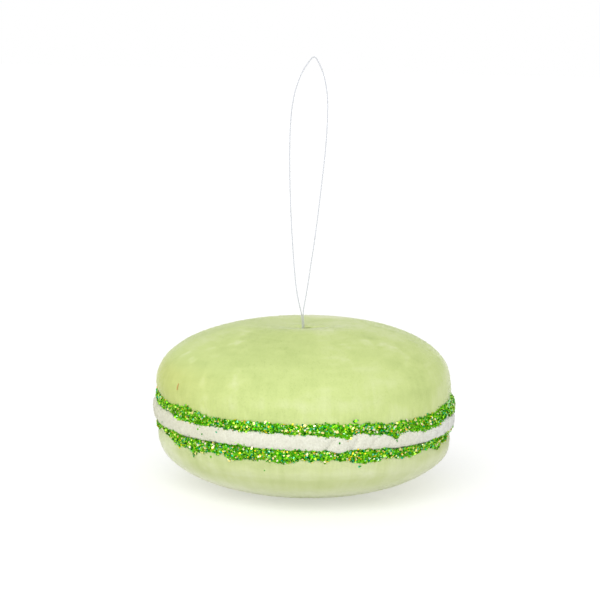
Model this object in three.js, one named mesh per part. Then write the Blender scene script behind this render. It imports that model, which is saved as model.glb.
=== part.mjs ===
// Macaron hanging ornament.
//
// Two pile-covered foam shells with a plush cord filling between them, a band of
// coarse glitter glued round the edge of each shell, and a clear nylon loop that
// comes out of a small pucker on top.
//
// Millimetres, +Z up, origin at the centre of the flat spot it rests on, front
// towards -Y. Heights inside the functions below are measured from the mid-plane
// of the filling, and the whole ornament is lifted onto its base at the end.

import * as THREE from 'three';
import { mergeVertices } from 'three/addons/utils/BufferGeometryUtils.js';

// ---- driving dimensions ------------------------------------------------------

const TOP_R = 59.0;          // upper shell: radius at its widest
const TOP_WIDE = 11.6;       //   height of that widest line
const TOP_DOME = 26.45;      //   rise of the dome above it
const TOP_PR = 1.945;        //   exponents of the dome's outline, radial and vertical
const TOP_PZ = 2.52;
const DENT_DEPTH = 2.2;      //   shallow flattening of its top
const DENT_R = 26.0;

const LOW_R = 60.25;         // lower shell: radius of its outline's ellipse
const LOW_DROP = 31.45;      //   depth of that ellipse
const LOW_PR = 1.79;
const LOW_PZ = 3.04;
const LOW_TUCK = 0.9;        //   how far its upper edge curls in
const FLAT_R = 17.0;         //   flat spot that it rests on
const BASE_BLEND_R = 27.0;   //   where the rounded underside starts to flatten

const FILL_HALF = 2.7;       // filling: half thickness between the shells
const CORD_R = 3.05;         //   radius of the plush cord at its rim
const FILL_R = 60.55;        //   outer radius of that cord
const CORD_LAY = 34;         //   strand ridges round the rim

const GAP = 0.35;            // glue line between touching pieces
const SEAT_TOP = FILL_HALF + GAP;

const BAND_R = 59.0;         // glitter bands: mean outer radius
const BAND_LUMP = 0.3;       //   unevenness of the glitter

const EXIT_X = -0.55;        // pucker where the loop comes out
const EXIT_Y = -6.0;
const PUCKER_DEPTH = 0.95;
const PUCKER_R = 1.9;

const THREAD_D = 0.42;       // nylon loop
const THREAD_SIDES = 8;
const THREAD_STEPS = 76;

const SHELL_SEGMENTS = 56;
const FILL_SEGMENTS = 92;
const BAND_SEGMENTS = 62;

// Route of the loop, x y z from the mid-plane: up the left leg, over, down the right.
const LOOP_ROUTE = [
  [-1.80, -6.15, 35.45], [-1.90, -6.20, 37.60], [-2.05, -6.22, 39.60], [-2.40, -6.22, 41.60],
  [-3.30, -6.15, 45.40], [-4.36, -6.05, 51.00], [-5.38, -5.95, 59.60], [-6.32, -5.80, 69.80],
  [-7.16, -5.65, 80.90], [-7.78, -5.50, 92.50], [-8.15, -5.35, 104.5], [-8.12, -5.20, 114.0],
  [-7.70, -5.15, 121.5], [-6.75, -5.10, 127.6], [-5.10, -5.05, 133.2], [-3.10, -5.00, 137.6],
  [-1.35, -5.00, 140.2], [-0.30, -5.00, 141.60], [0.62, -5.00, 142.05], [1.50, -4.99, 141.40],
  [2.60, -4.98, 139.6], [4.20, -4.95, 136.0], [5.35, -4.92, 131.8], [6.16, -4.92, 126.4],
  [6.38, -4.95, 119.0], [6.05, -5.00, 108.5], [5.30, -5.08, 98.8], [4.35, -5.20, 88.6],
  [3.35, -5.35, 78.4], [2.25, -5.50, 68.5], [1.15, -5.62, 60.0], [0.02, -5.72, 51.1],
  [-0.85, -5.80, 45.00], [-1.30, -5.84, 41.60], [-1.12, -5.86, 39.60], [-0.95, -5.86, 37.60],
  [-0.80, -5.85, 35.45],
];

// ---- outlines and small functions ---------------------------------------------

const clamp01 = (t) => Math.min(1, Math.max(0, t));
const smooth = (t) => { const c = clamp01(t); return c * c * (3 - 2 * c); };
const bell = (a, centre, width) => {
  let d = a - centre;
  while (d > Math.PI) d -= 2 * Math.PI;
  while (d < -Math.PI) d += 2 * Math.PI;
  return Math.exp(-(d * d) / (width * width));
};

// Azimuth seen from the front: 0 at -Y, positive towards +X.
const azimuth = (x, y) => Math.atan2(x, -y);
const deg = (d) => (d * Math.PI) / 180;

// Height of the upper shell's outer surface over the point (x, y).
function topSurface(x, y) {
  const q = clamp01(Math.hypot(x, y) / TOP_R);
  const dome = TOP_WIDE + TOP_DOME * Math.pow(Math.max(0, 1 - Math.pow(q, TOP_PR)), 1 / TOP_PZ);
  const r = Math.hypot(x, y);
  const dent = r < DENT_R ? DENT_DEPTH * Math.pow(1 - (r / DENT_R) ** 2, 2) : 0;
  const d = Math.hypot(x - EXIT_X, y - EXIT_Y);
  const pucker = PUCKER_DEPTH * Math.exp(-((d / PUCKER_R) ** 2));
  return dome - dent - pucker;
}

// Depth of the lower shell's outer surface at radius r (a negative height).
function lowSurface(r) {
  const curve = (q) => -LOW_DROP * Math.pow(Math.max(0, 1 - Math.pow(q / LOW_R, LOW_PR)), 1 / LOW_PZ);
  if (r >= BASE_BLEND_R) return curve(r);
  const slope = (curve(BASE_BLEND_R + 0.01) - curve(BASE_BLEND_R)) / 0.01;
  if (r <= FLAT_R) return curve(BASE_BLEND_R) - (slope * (BASE_BLEND_R - FLAT_R)) / 2;
  const t = (BASE_BLEND_R - r) / (BASE_BLEND_R - FLAT_R);
  return curve(BASE_BLEND_R) - slope * (BASE_BLEND_R - FLAT_R) * (t - (t * t) / 2);
}

// The halves were glued up by hand, a little out of square and off centre: the
// middle drops towards +X while the dome above it rises, and the two shells sit
// slightly to either side. One field moves every piece, so the pieces keep their
// gaps, and it fades to nothing at the base. Pairs of [height, slope along X].
const LEAN = [[-29.7, 0], [-22, 0.009], [-10, 0.005], [-6, -0.0012], [0, -0.0128], [5, -0.0097], [14, 0.0186], [40, 0.0186]];
const UPPER_SHIFT = -0.75;
const LOWER_SHIFT = 0.45;
function lean(z) {
  if (z <= LEAN[0][0]) return 0;
  let i = 0;
  while (z > LEAN[i + 1][0]) i += 1;
  const t = smooth((z - LEAN[i][0]) / (LEAN[i + 1][0] - LEAN[i][0]));
  return LEAN[i][1] + (LEAN[i + 1][1] - LEAN[i][1]) * t;
}
const shift = (z) => UPPER_SHIFT * smooth((z - 7) / 8) + LOWER_SHIFT * smooth((-z - 7) / 8);

// ---- solids ---------------------------------------------------------------------

// Turns a lathe profile of [radius, height] into one closed solid about +Z, then
// moves each vertex by shape(x, y, z) and by the lean of the assembly.
function turned(profile, segments, shape) {
  const lathe = new THREE.LatheGeometry(profile.map(([r, z]) => new THREE.Vector2(r, z)), segments);
  lathe.deleteAttribute('normal');
  lathe.deleteAttribute('uv');
  lathe.rotateX(Math.PI / 2);
  const solid = mergeVertices(lathe, 1e-4);
  const p = solid.attributes.position;
  for (let i = 0; i < p.count; i += 1) {
    let v = [p.getX(i), p.getY(i), p.getZ(i)];
    if (shape) v = shape(v[0], v[1], v[2]);
    p.setXYZ(i, v[0] + shift(v[2]), v[1], v[2] + v[0] * lean(v[2]));
  }
  solid.computeVertexNormals();
  return solid;
}

// Upper shell: flat seat below, rolled edge with a ledge for the glitter, dome above.
function topShell() {
  const profile = [
    [0, SEAT_TOP], [28, SEAT_TOP], [55.6, SEAT_TOP], [56.6, 4.1], [57.2, 5.4], [57.5, 6.9],
    [58.45, 7.3], [58.8, 8.7], [TOP_R, TOP_WIDE],
  ];
  const steps = 13;
  for (let i = steps - 1; i >= 1; i -= 1) {
    const a = (i / steps) * (Math.PI / 2);
    const r = TOP_R * Math.pow(Math.sin(a), 2 / TOP_PR);
    profile.push([r, topSurface(r, 0)]);
  }
  for (const r of [3.6, 2.2, 1.1]) profile.push([r, topSurface(r, 0)]);
  profile.push([0, topSurface(0, 0)]);
  return turned(profile, SHELL_SEGMENTS, (x, y, z) => {
    if (z <= TOP_WIDE + 0.01) return [x, y, z];
    // The rings near the top are centred on the pucker, the outer ones on the axis.
    const w = Math.pow(1 - clamp01(Math.hypot(x, y) / 40) ** 2, 2);
    const px = x + EXIT_X * w;
    const py = y + EXIT_Y * w;
    return [px, py, topSurface(px, py)];
  });
}

// Lower shell: the same build, shallower, with the flat spot it rests on.
function bottomShell() {
  const profile = [[0, lowSurface(0)], [FLAT_R, lowSurface(FLAT_R)], [21, lowSurface(21)]];
  const steps = 11;
  for (let i = 0; i < steps; i += 1) {
    const a = 0.42 + (i / (steps - 1)) * (Math.asin(Math.pow(0.988, LOW_PR / 2)) - 0.42);
    const r = LOW_R * Math.pow(Math.sin(a), 2 / LOW_PR);
    const z = lowSurface(r);
    profile.push([r - LOW_TUCK * smooth((z + 14) / 6), z]);
  }
  profile.push([58.55, -8.2], [57.4, -7.6], [57.2, -5.6], [56.6, -4.1], [55.6, -SEAT_TOP], [28, -SEAT_TOP], [0, -SEAT_TOP]);
  return turned(profile, SHELL_SEGMENTS);
}

// Filling: a disc that runs through, ending in a soft cord whose strands show as
// slanting ridges, strongest on the right of the front and fading to the left.
function filling() {
  const rim = FILL_R - CORD_R;
  const profile = [[0, -FILL_HALF], [rim - 1.3, -FILL_HALF]];
  const steps = 6;
  for (let i = 0; i <= steps; i += 1) {
    const a = -1.12 + (2.24 * i) / steps;
    profile.push([rim + CORD_R * Math.cos(a), CORD_R * Math.sin(a)]);
  }
  profile.push([rim - 1.3, FILL_HALF], [0, FILL_HALF]);
  return turned(profile, FILL_SEGMENTS, (x, y, z) => {
    const r = Math.hypot(x, y);
    if (r < rim) return [x, y, z];
    const phi = azimuth(x, y);
    const strength = 0.08 + 0.32 * bell(phi, deg(35), deg(48));
    const lay = Math.sin(CORD_LAY * phi - 0.75 * z);
    const swell = 0.15 * Math.sin(3 * phi + 0.6) + 0.45 * bell(phi, deg(-92), deg(16)) + 0.9 * bell(phi, deg(92), deg(14));
    const k = (r + (strength * lay + swell) * smooth((r - rim) / CORD_R)) / r;
    return [x * k, y * k, z];
  });
}

// Glitter band: an uneven ring in the ledge of a shell's edge. side is +1 for the
// upper shell and -1 for the lower one.
function glitterBand(side) {
  const inner = side > 0
    ? [[56.5, 3.1], [56.95, 4.0], [57.55, 5.4], [57.85, 6.5]]
    : [[56.5, 3.1], [56.95, 4.0], [57.55, 5.6], [57.8, 7.3]];
  const outer = side > 0
    ? [[58.5, 6.85], [BAND_R - 0.1, 6.4], [BAND_R + 0.1, 5.2], [BAND_R - 0.1, 4.0], [58.2, 3.15]]
    : [[58.5, 7.8], [BAND_R - 0.05, 7.1], [BAND_R + 0.1, 5.7], [BAND_R - 0.1, 4.2], [58.2, 3.15]];
  const ring = [...inner, ...outer].map(([r, z]) => [r, side * z]);
  ring.push(ring[0]);
  if (side > 0) ring.reverse();
  return turned(ring, BAND_SEGMENTS, (x, y, z) => {
    const r = Math.hypot(x, y);
    if (r < 58.6) return [x, y, z];
    const phi = azimuth(x, y);
    const lump = BAND_LUMP * (0.5 * Math.sin(17 * phi + 1.3 * z) + 0.35 * Math.sin(29 * phi - 2.1 * z + side) + 0.3 * Math.sin(7 * phi + 2 * side));
    const tuft = side > 0 ? 0.9 * bell(phi, deg(80), deg(9)) : 0;
    const k = (r + lump + tuft) / r;
    return [x * k, y * k, z];
  });
}

// The loop is a tube along its route. Its steps follow the route's own points,
// which lie closer together where the bend is tighter.
class RouteCurve extends THREE.CatmullRomCurve3 {
  getPointAt(u, target) { return this.getPoint(u, target); }
  getTangentAt(u, target) { return this.getTangent(u, target); }
}
function hangingLoop() {
  const path = new RouteCurve(LOOP_ROUTE.map(([x, y, z]) => new THREE.Vector3(x, y, z)), false, 'centripetal');
  const section = new THREE.Shape(Array.from({ length: THREAD_SIDES }, (_, i) => {
    const a = (i / THREAD_SIDES) * 2 * Math.PI;
    return new THREE.Vector2((THREAD_D / 2) * Math.cos(a), (THREAD_D / 2) * Math.sin(a));
  }));
  const tube = new THREE.ExtrudeGeometry(section, { steps: THREAD_STEPS, bevelEnabled: false, extrudePath: path });
  tube.deleteAttribute('normal');
  tube.deleteAttribute('uv');
  const solid = mergeVertices(tube, 1e-5);
  solid.computeVertexNormals();
  return solid;
}

// ---- assembly -------------------------------------------------------------------

const velvet = { color: 0xcfe08c, roughness: 0.95, metalness: 0 };
const glitter = { color: 0x4fa83a, roughness: 0.35, metalness: 0.2 };

// The mid-plane's height above the base is the depth of the lower shell's outline.
const ornament = new THREE.Group();
ornament.position.set(0, 0, -lowSurface(0));

function add(name, geometry, finish) {
  const mesh = new THREE.Mesh(geometry, new THREE.MeshStandardMaterial(finish));
  mesh.name = name;
  ornament.add(mesh);
}

add('top_shell', topShell(), velvet);
add('bottom_shell', bottomShell(), velvet);
add('filling', filling(), { color: 0xf1efe8, roughness: 0.95, metalness: 0 });
add('glitter_band_top', glitterBand(1), glitter);
add('glitter_band_bottom', glitterBand(-1), glitter);
add('hanging_loop', hangingLoop(), { color: 0xe6e8ee, roughness: 0.2, metalness: 0 });

export default ornament;
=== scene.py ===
import math

import bpy
import numpy as np
from mathutils import Matrix


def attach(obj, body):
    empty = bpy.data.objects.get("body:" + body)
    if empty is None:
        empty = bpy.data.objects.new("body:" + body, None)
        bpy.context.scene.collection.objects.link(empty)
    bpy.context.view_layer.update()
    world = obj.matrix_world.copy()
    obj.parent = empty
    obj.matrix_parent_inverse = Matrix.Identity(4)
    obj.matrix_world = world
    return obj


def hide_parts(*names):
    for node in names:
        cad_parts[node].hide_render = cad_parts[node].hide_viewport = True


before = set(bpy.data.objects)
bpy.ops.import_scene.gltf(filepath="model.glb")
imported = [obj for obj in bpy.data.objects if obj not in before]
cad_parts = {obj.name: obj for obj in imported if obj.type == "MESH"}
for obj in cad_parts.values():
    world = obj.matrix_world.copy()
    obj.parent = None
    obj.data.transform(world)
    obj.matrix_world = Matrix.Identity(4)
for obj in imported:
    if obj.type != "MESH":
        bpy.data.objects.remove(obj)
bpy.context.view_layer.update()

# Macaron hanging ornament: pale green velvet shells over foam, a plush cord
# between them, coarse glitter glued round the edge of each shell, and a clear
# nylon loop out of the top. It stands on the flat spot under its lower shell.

scene = bpy.context.scene
scene.view_settings.view_transform = "Standard"
scene.view_settings.look = "None"

# ---- dimensions, in mm, heights measured from the filling's mid-plane ---------

MID = 29.742                  # height of that mid-plane above the base

TOP_R, TOP_WIDE, TOP_DOME, TOP_PR, TOP_PZ = 59.0, 11.6, 26.45, 1.945, 2.52
DENT_DEPTH, DENT_R = 2.2, 26.0
LOW_R, LOW_DROP, LOW_PR, LOW_PZ, LOW_TUCK = 60.25, 31.45, 1.79, 3.04, 0.9
FLAT_R, BASE_BLEND_R = 17.0, 27.0
EXIT_X, EXIT_Y, PUCKER_DEPTH, PUCKER_R = -0.55, -6.0, 0.95, 1.9
SEAT = 3.05
CORD_R, FILL_R = 3.05, 60.55
THREAD_D = 0.46

LEAN = [(-29.7, 0), (-22, 0.009), (-10, 0.005), (-6, -0.0012), (0, -0.0128), (5, -0.0097), (14, 0.0186), (40, 0.0186)]

# ---- small functions -----------------------------------------------------------


def smooth(t):
    t = np.clip(t, 0.0, 1.0)
    return t * t * (3 - 2 * t)


def wrap(a):
    return (np.asarray(a) + np.pi) % (2 * np.pi) - np.pi


def bell(a, centre, width):
    """1 at azimuth centre, falling off over width; both in degrees, a in radians."""
    return np.exp(-(wrap(a - math.radians(centre)) / math.radians(width)) ** 2)


def lean(z):
    hs, ss = [p[0] for p in LEAN], [p[1] for p in LEAN]
    z = np.asarray(z, float)
    k = np.clip(np.searchsorted(hs, z, side="left") - 1, 0, len(hs) - 2)
    h0, h1 = np.take(hs, k), np.take(hs, k + 1)
    s0, s1 = np.take(ss, k), np.take(ss, k + 1)
    return np.where(z <= hs[0], 0.0, s0 + (s1 - s0) * smooth((z - h0) / (h1 - h0)))


def shift(z):
    return -0.75 * smooth((z - 7) / 8) + 0.45 * smooth((-z - 7) / 8)


def assembled(p):
    """The halves sit a little out of square, as glued: applies that to points as turned."""
    p = np.asarray(p, float)
    x, y, z = p[..., 0], p[..., 1], p[..., 2]
    return np.stack([x + shift(z), y, z + x * lean(z)], -1)


def to_row(p):
    """From mm about the mid-plane to the row frame."""
    return (np.asarray(p, float) + [0, 0, MID]) / 1000.0


def top_surface(x, y):
    r = np.hypot(x, y)
    q = np.clip(r / TOP_R, 0, 1)
    dome = TOP_WIDE + TOP_DOME * np.maximum(0, 1 - q ** TOP_PR) ** (1 / TOP_PZ)
    dent = np.where(r < DENT_R, DENT_DEPTH * (1 - (r / DENT_R) ** 2) ** 2, 0)
    d = np.hypot(x - EXIT_X, y - EXIT_Y)
    return dome - dent - PUCKER_DEPTH * np.exp(-((d / PUCKER_R) ** 2))


def low_surface(r):
    r = np.asarray(r, float)

    def curve(q):
        return -LOW_DROP * np.maximum(0, 1 - (q / LOW_R) ** LOW_PR) ** (1 / LOW_PZ)

    at = float(curve(np.float64(BASE_BLEND_R)))
    slope = (float(curve(np.float64(BASE_BLEND_R + 0.01))) - at) / 0.01
    w = BASE_BLEND_R - FLAT_R
    t = np.clip((BASE_BLEND_R - r) / w, 0, 1)
    return np.where(r >= BASE_BLEND_R, curve(np.maximum(r, BASE_BLEND_R)), at - slope * w * (t - t * t / 2))


def noise(p, cell, seed):
    """Smooth value noise from -1 to 1 at points p, with bumps about cell apart."""
    q = np.asarray(p, float) / cell + 1000.0
    i = np.floor(q).astype(np.int64)
    f = q - i
    f = f * f * f * (f * (f * 6 - 15) + 10)
    out = 0.0
    for dx in (0, 1):
        for dy in (0, 1):
            for dz in (0, 1):
                n = (i[..., 0] + dx) * 374761393 + (i[..., 1] + dy) * 668265263 + (i[..., 2] + dz) * 2147483647 + seed * 1013904223
                n = (n ^ (n >> 13)) * 1274126177
                n = (n ^ (n >> 16)) & 0xFFFF
                w = (f[..., 0] if dx else 1 - f[..., 0]) * (f[..., 1] if dy else 1 - f[..., 1]) * (f[..., 2] if dz else 1 - f[..., 2])
                out = out + w * (n / 32767.5 - 1)
    return out


def unit(v):
    return v / np.maximum(np.linalg.norm(v, axis=-1, keepdims=True), 1e-12)


# ---- camera ----------------------------------------------------------------------

cam_data = bpy.data.cameras.new("camera")
cam_data.sensor_width = 36.0
cam_data.lens = 105.587
cam_data.clip_start, cam_data.clip_end = 0.05, 200.0
camera = bpy.data.objects.new("camera", cam_data)
scene.collection.objects.link(camera)
RIGHT = (0.99971768, 0.00701001, 0.02270286)
UP = (-0.02342725, 0.13134914, 0.99105932)
AHEAD = (-0.00396533, 0.99131139, -0.13147628)
PLACE = (0.0, -0.699273, 0.167948)
camera.matrix_world = Matrix([[RIGHT[i], UP[i], -AHEAD[i], PLACE[i]] for i in range(3)] + [[0, 0, 0, 1]])
scene.camera = camera

# ---- mesh helpers ---------------------------------------------------------------------


def build(name, points, faces, material, nodes=(), shade=True, values=None, uv=None, normals=None):
    """A piece on the root body. faces is a list of integer arrays, one row per face;
    values are per-vertex numbers for the material; uv and normals are per face corner."""
    mesh = bpy.data.meshes.new(name)
    points = np.ascontiguousarray(points, np.float32)
    faces = [np.asarray(f, np.int32) for f in faces if len(f)]
    loops = np.concatenate([f.ravel() for f in faces])
    counts = np.concatenate([np.full(len(f), f.shape[1], np.int32) for f in faces])
    starts = np.concatenate([[0], np.cumsum(counts)[:-1]]).astype(np.int32)
    mesh.vertices.add(len(points))
    mesh.vertices.foreach_set("co", points.ravel())
    mesh.loops.add(len(loops))
    mesh.loops.foreach_set("vertex_index", loops)
    mesh.polygons.add(len(counts))
    mesh.polygons.foreach_set("loop_start", starts)
    mesh.polygons.foreach_set("use_smooth", np.full(len(counts), bool(shade)))
    for key, data in (values or {}).items():
        mesh.attributes.new(key, "FLOAT", "POINT").data.foreach_set("value", np.asarray(data, np.float32))
    if uv is not None:
        layer = mesh.uv_layers.new(name="OFBake")
        layer.uv.foreach_set("vector", np.ascontiguousarray(uv, np.float32).ravel())
    mesh.update(calc_edges=True)
    if mesh.validate(verbose=False):
        raise RuntimeError(name + " had faces that Blender had to mend")
    if normals is not None:
        mesh.normals_split_custom_set(np.ascontiguousarray(normals, np.float32).reshape(-1, 3))
    mesh.materials.append(material)
    piece = bpy.data.objects.new(name, mesh)
    scene.collection.objects.link(piece)
    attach(piece, "root")
    for node in nodes:
        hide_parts(node)
    return piece


def turned(rings, segments):
    """Rings of [radius, height] turned about the axis, azimuth 0 at the front: points,
    faces, and each point's ring and azimuth. Rings of radius 0 become single points,
    whose azimuth is not a number."""
    a = np.arange(segments) / segments * 2 * np.pi
    points, index, ring_of, angle_of, n = [], [], [], [], 0
    for k, (r, z) in enumerate(rings):
        if r < 1e-9:
            p, angle = np.array([[0.0, 0.0, z]]), np.array([np.nan])
        else:
            p, angle = np.stack([r * np.sin(a), -r * np.cos(a), np.full(segments, float(z))], 1), a
        points.append(p)
        index.append(np.arange(n, n + len(p)))
        ring_of.append(np.full(len(p), k))
        angle_of.append(angle)
        n += len(p)
    quads, tris = [], []
    for lo, hi in zip(index[:-1], index[1:]):
        if len(lo) == 1:
            tris.append(np.stack([np.full(segments, lo[0]), np.roll(hi, -1), hi], 1))
        elif len(hi) == 1:
            tris.append(np.stack([lo, np.roll(lo, -1), np.full(segments, hi[0])], 1))
        else:
            quads.append(np.stack([lo, np.roll(lo, -1), np.roll(hi, -1), hi], 1))
    faces = [np.concatenate(q) for q in (quads, tris) if q]
    return np.concatenate(points), faces, np.concatenate(ring_of), np.concatenate(angle_of)


def disc_map(faces, ring_of, angle_of, radius):
    """A turned piece's faces laid out on a disc; radius gives each ring's place."""
    out = []
    for f in faces:
        s, c = np.sin(angle_of[f]), np.cos(angle_of[f])
        s = np.where(np.isnan(s), np.nansum(s, 1, keepdims=True), s)
        c = np.where(np.isnan(c), np.nansum(c, 1, keepdims=True), c)
        size = np.maximum(np.hypot(s, c), 1e-9)
        r = radius[ring_of[f]]
        out.append(np.stack([0.5 + r * s / size, 0.5 + r * c / size], -1).reshape(-1, 2))
    return np.concatenate(out)


def shell_radii(rings, heights, seen):
    """Places of a shell's rings on its disc, with the pole in the middle and what the
    other parts hide pressed into the rim. Rings run from the hidden end to the pole."""
    r, z = np.array([q[0] for q in rings]), np.asarray(heights, float)
    step = np.hypot(np.diff(r), np.diff(z))
    from_pole = np.concatenate([np.cumsum(step[::-1])[::-1], [0.0]])
    edge_ = from_pole[seen]
    inner = from_pole / edge_ * 0.472
    outer = 0.474 + 0.024 * (from_pole - edge_) / max(from_pole[0] - edge_, 1e-9)
    return np.where(from_pole <= edge_, inner, outer)


def strip_map(count, rows, across, row_total):
    """Corners of a ring of count quads by across quads, cut into rows that lie one above
    the other on the map; the faces are in the order of loops over across, then count."""
    per = count // rows
    i = np.arange(count)
    row, left = i // per, (i % per) / per
    out = []
    for j in range(across):
        v0, v1 = (row + 0.04 + 0.92 * j / across) / row_total, (row + 0.04 + 0.92 * (j + 1) / across) / row_total
        u0, u1 = left, left + 1.0 / per
        out.append(np.stack([np.stack([u0, v0], 1), np.stack([u1, v0], 1), np.stack([u1, v1], 1), np.stack([u0, v1], 1)], 1))
    return np.concatenate(out).reshape(-1, 2)


def cell_map(cell, grid, pattern):
    """Corners of items that are laid out by colour: pattern, from 0 to 1, inside the
    item's own cell of a grid."""
    at = np.stack([cell % grid, cell // grid], -1)[:, None, :]
    return ((at + 0.2 + 0.6 * np.asarray(pattern, float)[None]) / grid).reshape(-1, 2)


def scatter(rng, points, quads, count, weight, values):
    """Random places on the quads, evenly but for weight, with the surface's normal and
    the value of each per-vertex array there."""
    p = points[quads]
    cross = np.cross(p[:, 2] - p[:, 0], p[:, 3] - p[:, 1])
    at_points = np.zeros_like(points)
    for k in range(4):
        np.add.at(at_points, quads[:, k], cross)
    chance = np.linalg.norm(cross, axis=1) * weight(p.mean(1))
    pick = rng.choice(len(quads), count, p=chance / chance.sum())
    u, v = rng.random((2, count, 1))
    share = [(1 - u) * (1 - v), u * (1 - v), u * v, (1 - u) * v]

    def between(data):
        return sum(s * data[quads[pick, k]] for k, s in enumerate(share))

    return between(points), unit(between(unit(at_points))), [between(np.asarray(d, float)[:, None])[:, 0] for d in values]


TRIANGLE = [(0.0, 0.0), (1.0, 0.0), (0.5, 1.0)]


def spikes(roots, normal, way, length, width, thick=1.0):
    """Closed three-sided fibres: points, faces and shading normals. The normals lean to
    the surface's own, as those of a close pile do. thick under 1 gives flatter ones."""
    n = len(roots)
    side = unit(np.cross(way, normal))
    crest = unit(np.cross(side, way))
    w = width[:, None]
    a = roots + crest * w * 0.5 * thick
    b = roots - crest * w * 0.3 * thick + side * w * 0.5
    c = roots - crest * w * 0.3 * thick - side * w * 0.5
    tip = roots + way * length[:, None]
    points = np.stack([a, b, c, tip], 1)
    corners = np.array([(0, 1, 3), (2, 0, 3), (1, 2, 3), (0, 2, 1)])
    faces = (np.arange(n)[:, None, None] * 4 + corners[None]).reshape(-1, 3)
    p = points[:, corners]
    own = unit(np.cross(p[:, :, 1] - p[:, :, 0], p[:, :, 2] - p[:, :, 0]))
    shown = own.copy()
    shown[:, :2] = unit(normal[:, None, :] + 0.35 * own[:, :2])
    shown = np.repeat(shown[:, :, None, :], 3, 2)
    return points.reshape(-1, 3), faces, shown.reshape(-1, 3)


# ---- material helper --------------------------------------------------------------------


class Nodes:
    """A material's node tree with a Principled surface."""

    def __init__(self, name):
        self.material = bpy.data.materials.new(name)
        self.material.use_nodes = True
        self.tree = self.material.node_tree
        self.shader = next(n for n in self.tree.nodes if n.type == "BSDF_PRINCIPLED")

    def set(self, **values):
        for key, value in values.items():
            self.shader.inputs[key.replace("_", " ")].default_value = value
        return self

    def new(self, kind, **inputs):
        node = self.tree.nodes.new("ShaderNode" + kind)
        for key, value in inputs.items():
            if hasattr(node, key) and key not in ("location",):
                setattr(node, key, value)
        return node

    def link(self, a, b):
        self.tree.links.new(a, b)
        return b

    def feed(self, node, key, value):
        socket = node.inputs[key]
        if isinstance(value, bpy.types.NodeSocket):
            self.tree.links.new(value, socket)
        else:
            socket.default_value = value

    def math(self, operation, a, b=0.0, c=0.0, clamp=False):
        node = self.new("Math", operation=operation, use_clamp=clamp)
        for i, value in enumerate((a, b, c)):
            self.feed(node, i, value)
        return node.outputs[0]

    def noise(self, vector, scale, detail=2.0, roughness=0.5, distortion=0.0):
        node = self.new("TexNoise")
        self.feed(node, "Vector", vector)
        self.feed(node, "Scale", scale)
        self.feed(node, "Detail", detail)
        self.feed(node, "Roughness", roughness)
        self.feed(node, "Distortion", distortion)
        return node.outputs["Fac"]

    def range(self, value, a, b, to_a=0.0, to_b=1.0, kind="SMOOTHSTEP"):
        node = self.new("MapRange", interpolation_type=kind, clamp=True)
        self.feed(node, "Value", value)
        self.feed(node, "From Min", a)
        self.feed(node, "From Max", b)
        self.feed(node, "To Min", to_a)
        self.feed(node, "To Max", to_b)
        return node.outputs[0]

    def mix(self, factor, a, b, blend="MIX"):
        node = self.new("Mix", data_type="RGBA", blend_type=blend)
        self.feed(node, 0, factor)
        for i, value in ((6, a), (7, b)):
            self.feed(node, i, value if isinstance(value, bpy.types.NodeSocket) else (*value, 1.0))
        return node.outputs[2]

    def combine(self, x, y, z):
        node = self.new("CombineXYZ")
        for i, value in enumerate((x, y, z)):
            self.feed(node, i, value)
        return node.outputs[0]

    def bump(self, height, distance, strength, normal=None):
        node = self.new("Bump")
        self.feed(node, "Height", height)
        self.feed(node, "Distance", distance)
        self.feed(node, "Strength", strength)
        if normal is not None:
            self.feed(node, "Normal", normal)
        return node.outputs[0]

    def ramp(self, attribute, stops, kind="LINEAR"):
        """The colour that a per-vertex number stands for."""
        source = self.new("Attribute")
        source.attribute_name = attribute
        node = self.new("ValToRGB")
        node.color_ramp.interpolation = kind
        for i, (at, colour) in enumerate(stops):
            stop = node.color_ramp.elements[i] if i < 2 else node.color_ramp.elements.new(at)
            stop.position = at
            stop.color = (*colour, 1.0)
        self.link(source.outputs["Fac"], node.inputs["Fac"])
        return node.outputs["Color"]

    def place(self):
        """The vector in mm in the row frame, its height above the mid-plane, the radius,
        and the direction from the axis as a place on a drum of 59 mm radius."""
        coord = self.new("TexCoord").outputs["Object"]
        scaled = self.new("VectorMath", operation="SCALE")
        self.feed(scaled, 0, coord)
        self.feed(scaled, "Scale", 1000.0)
        vector = scaled.outputs[0]
        parts = self.new("SeparateXYZ")
        self.feed(parts, 0, vector)
        x, y, z = parts.outputs
        radius = self.math("SQRT", self.math("ADD", self.math("MULTIPLY", x, x), self.math("MULTIPLY", y, y)))
        drum_x = self.math("MULTIPLY", self.math("DIVIDE", x, radius), 59.0)
        drum_y = self.math("MULTIPLY", self.math("DIVIDE", y, radius), 59.0)
        return vector, self.math("SUBTRACT", z, MID), radius, drum_x, drum_y


# ---- the nylon loop -------------------------------------------------------------------

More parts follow.
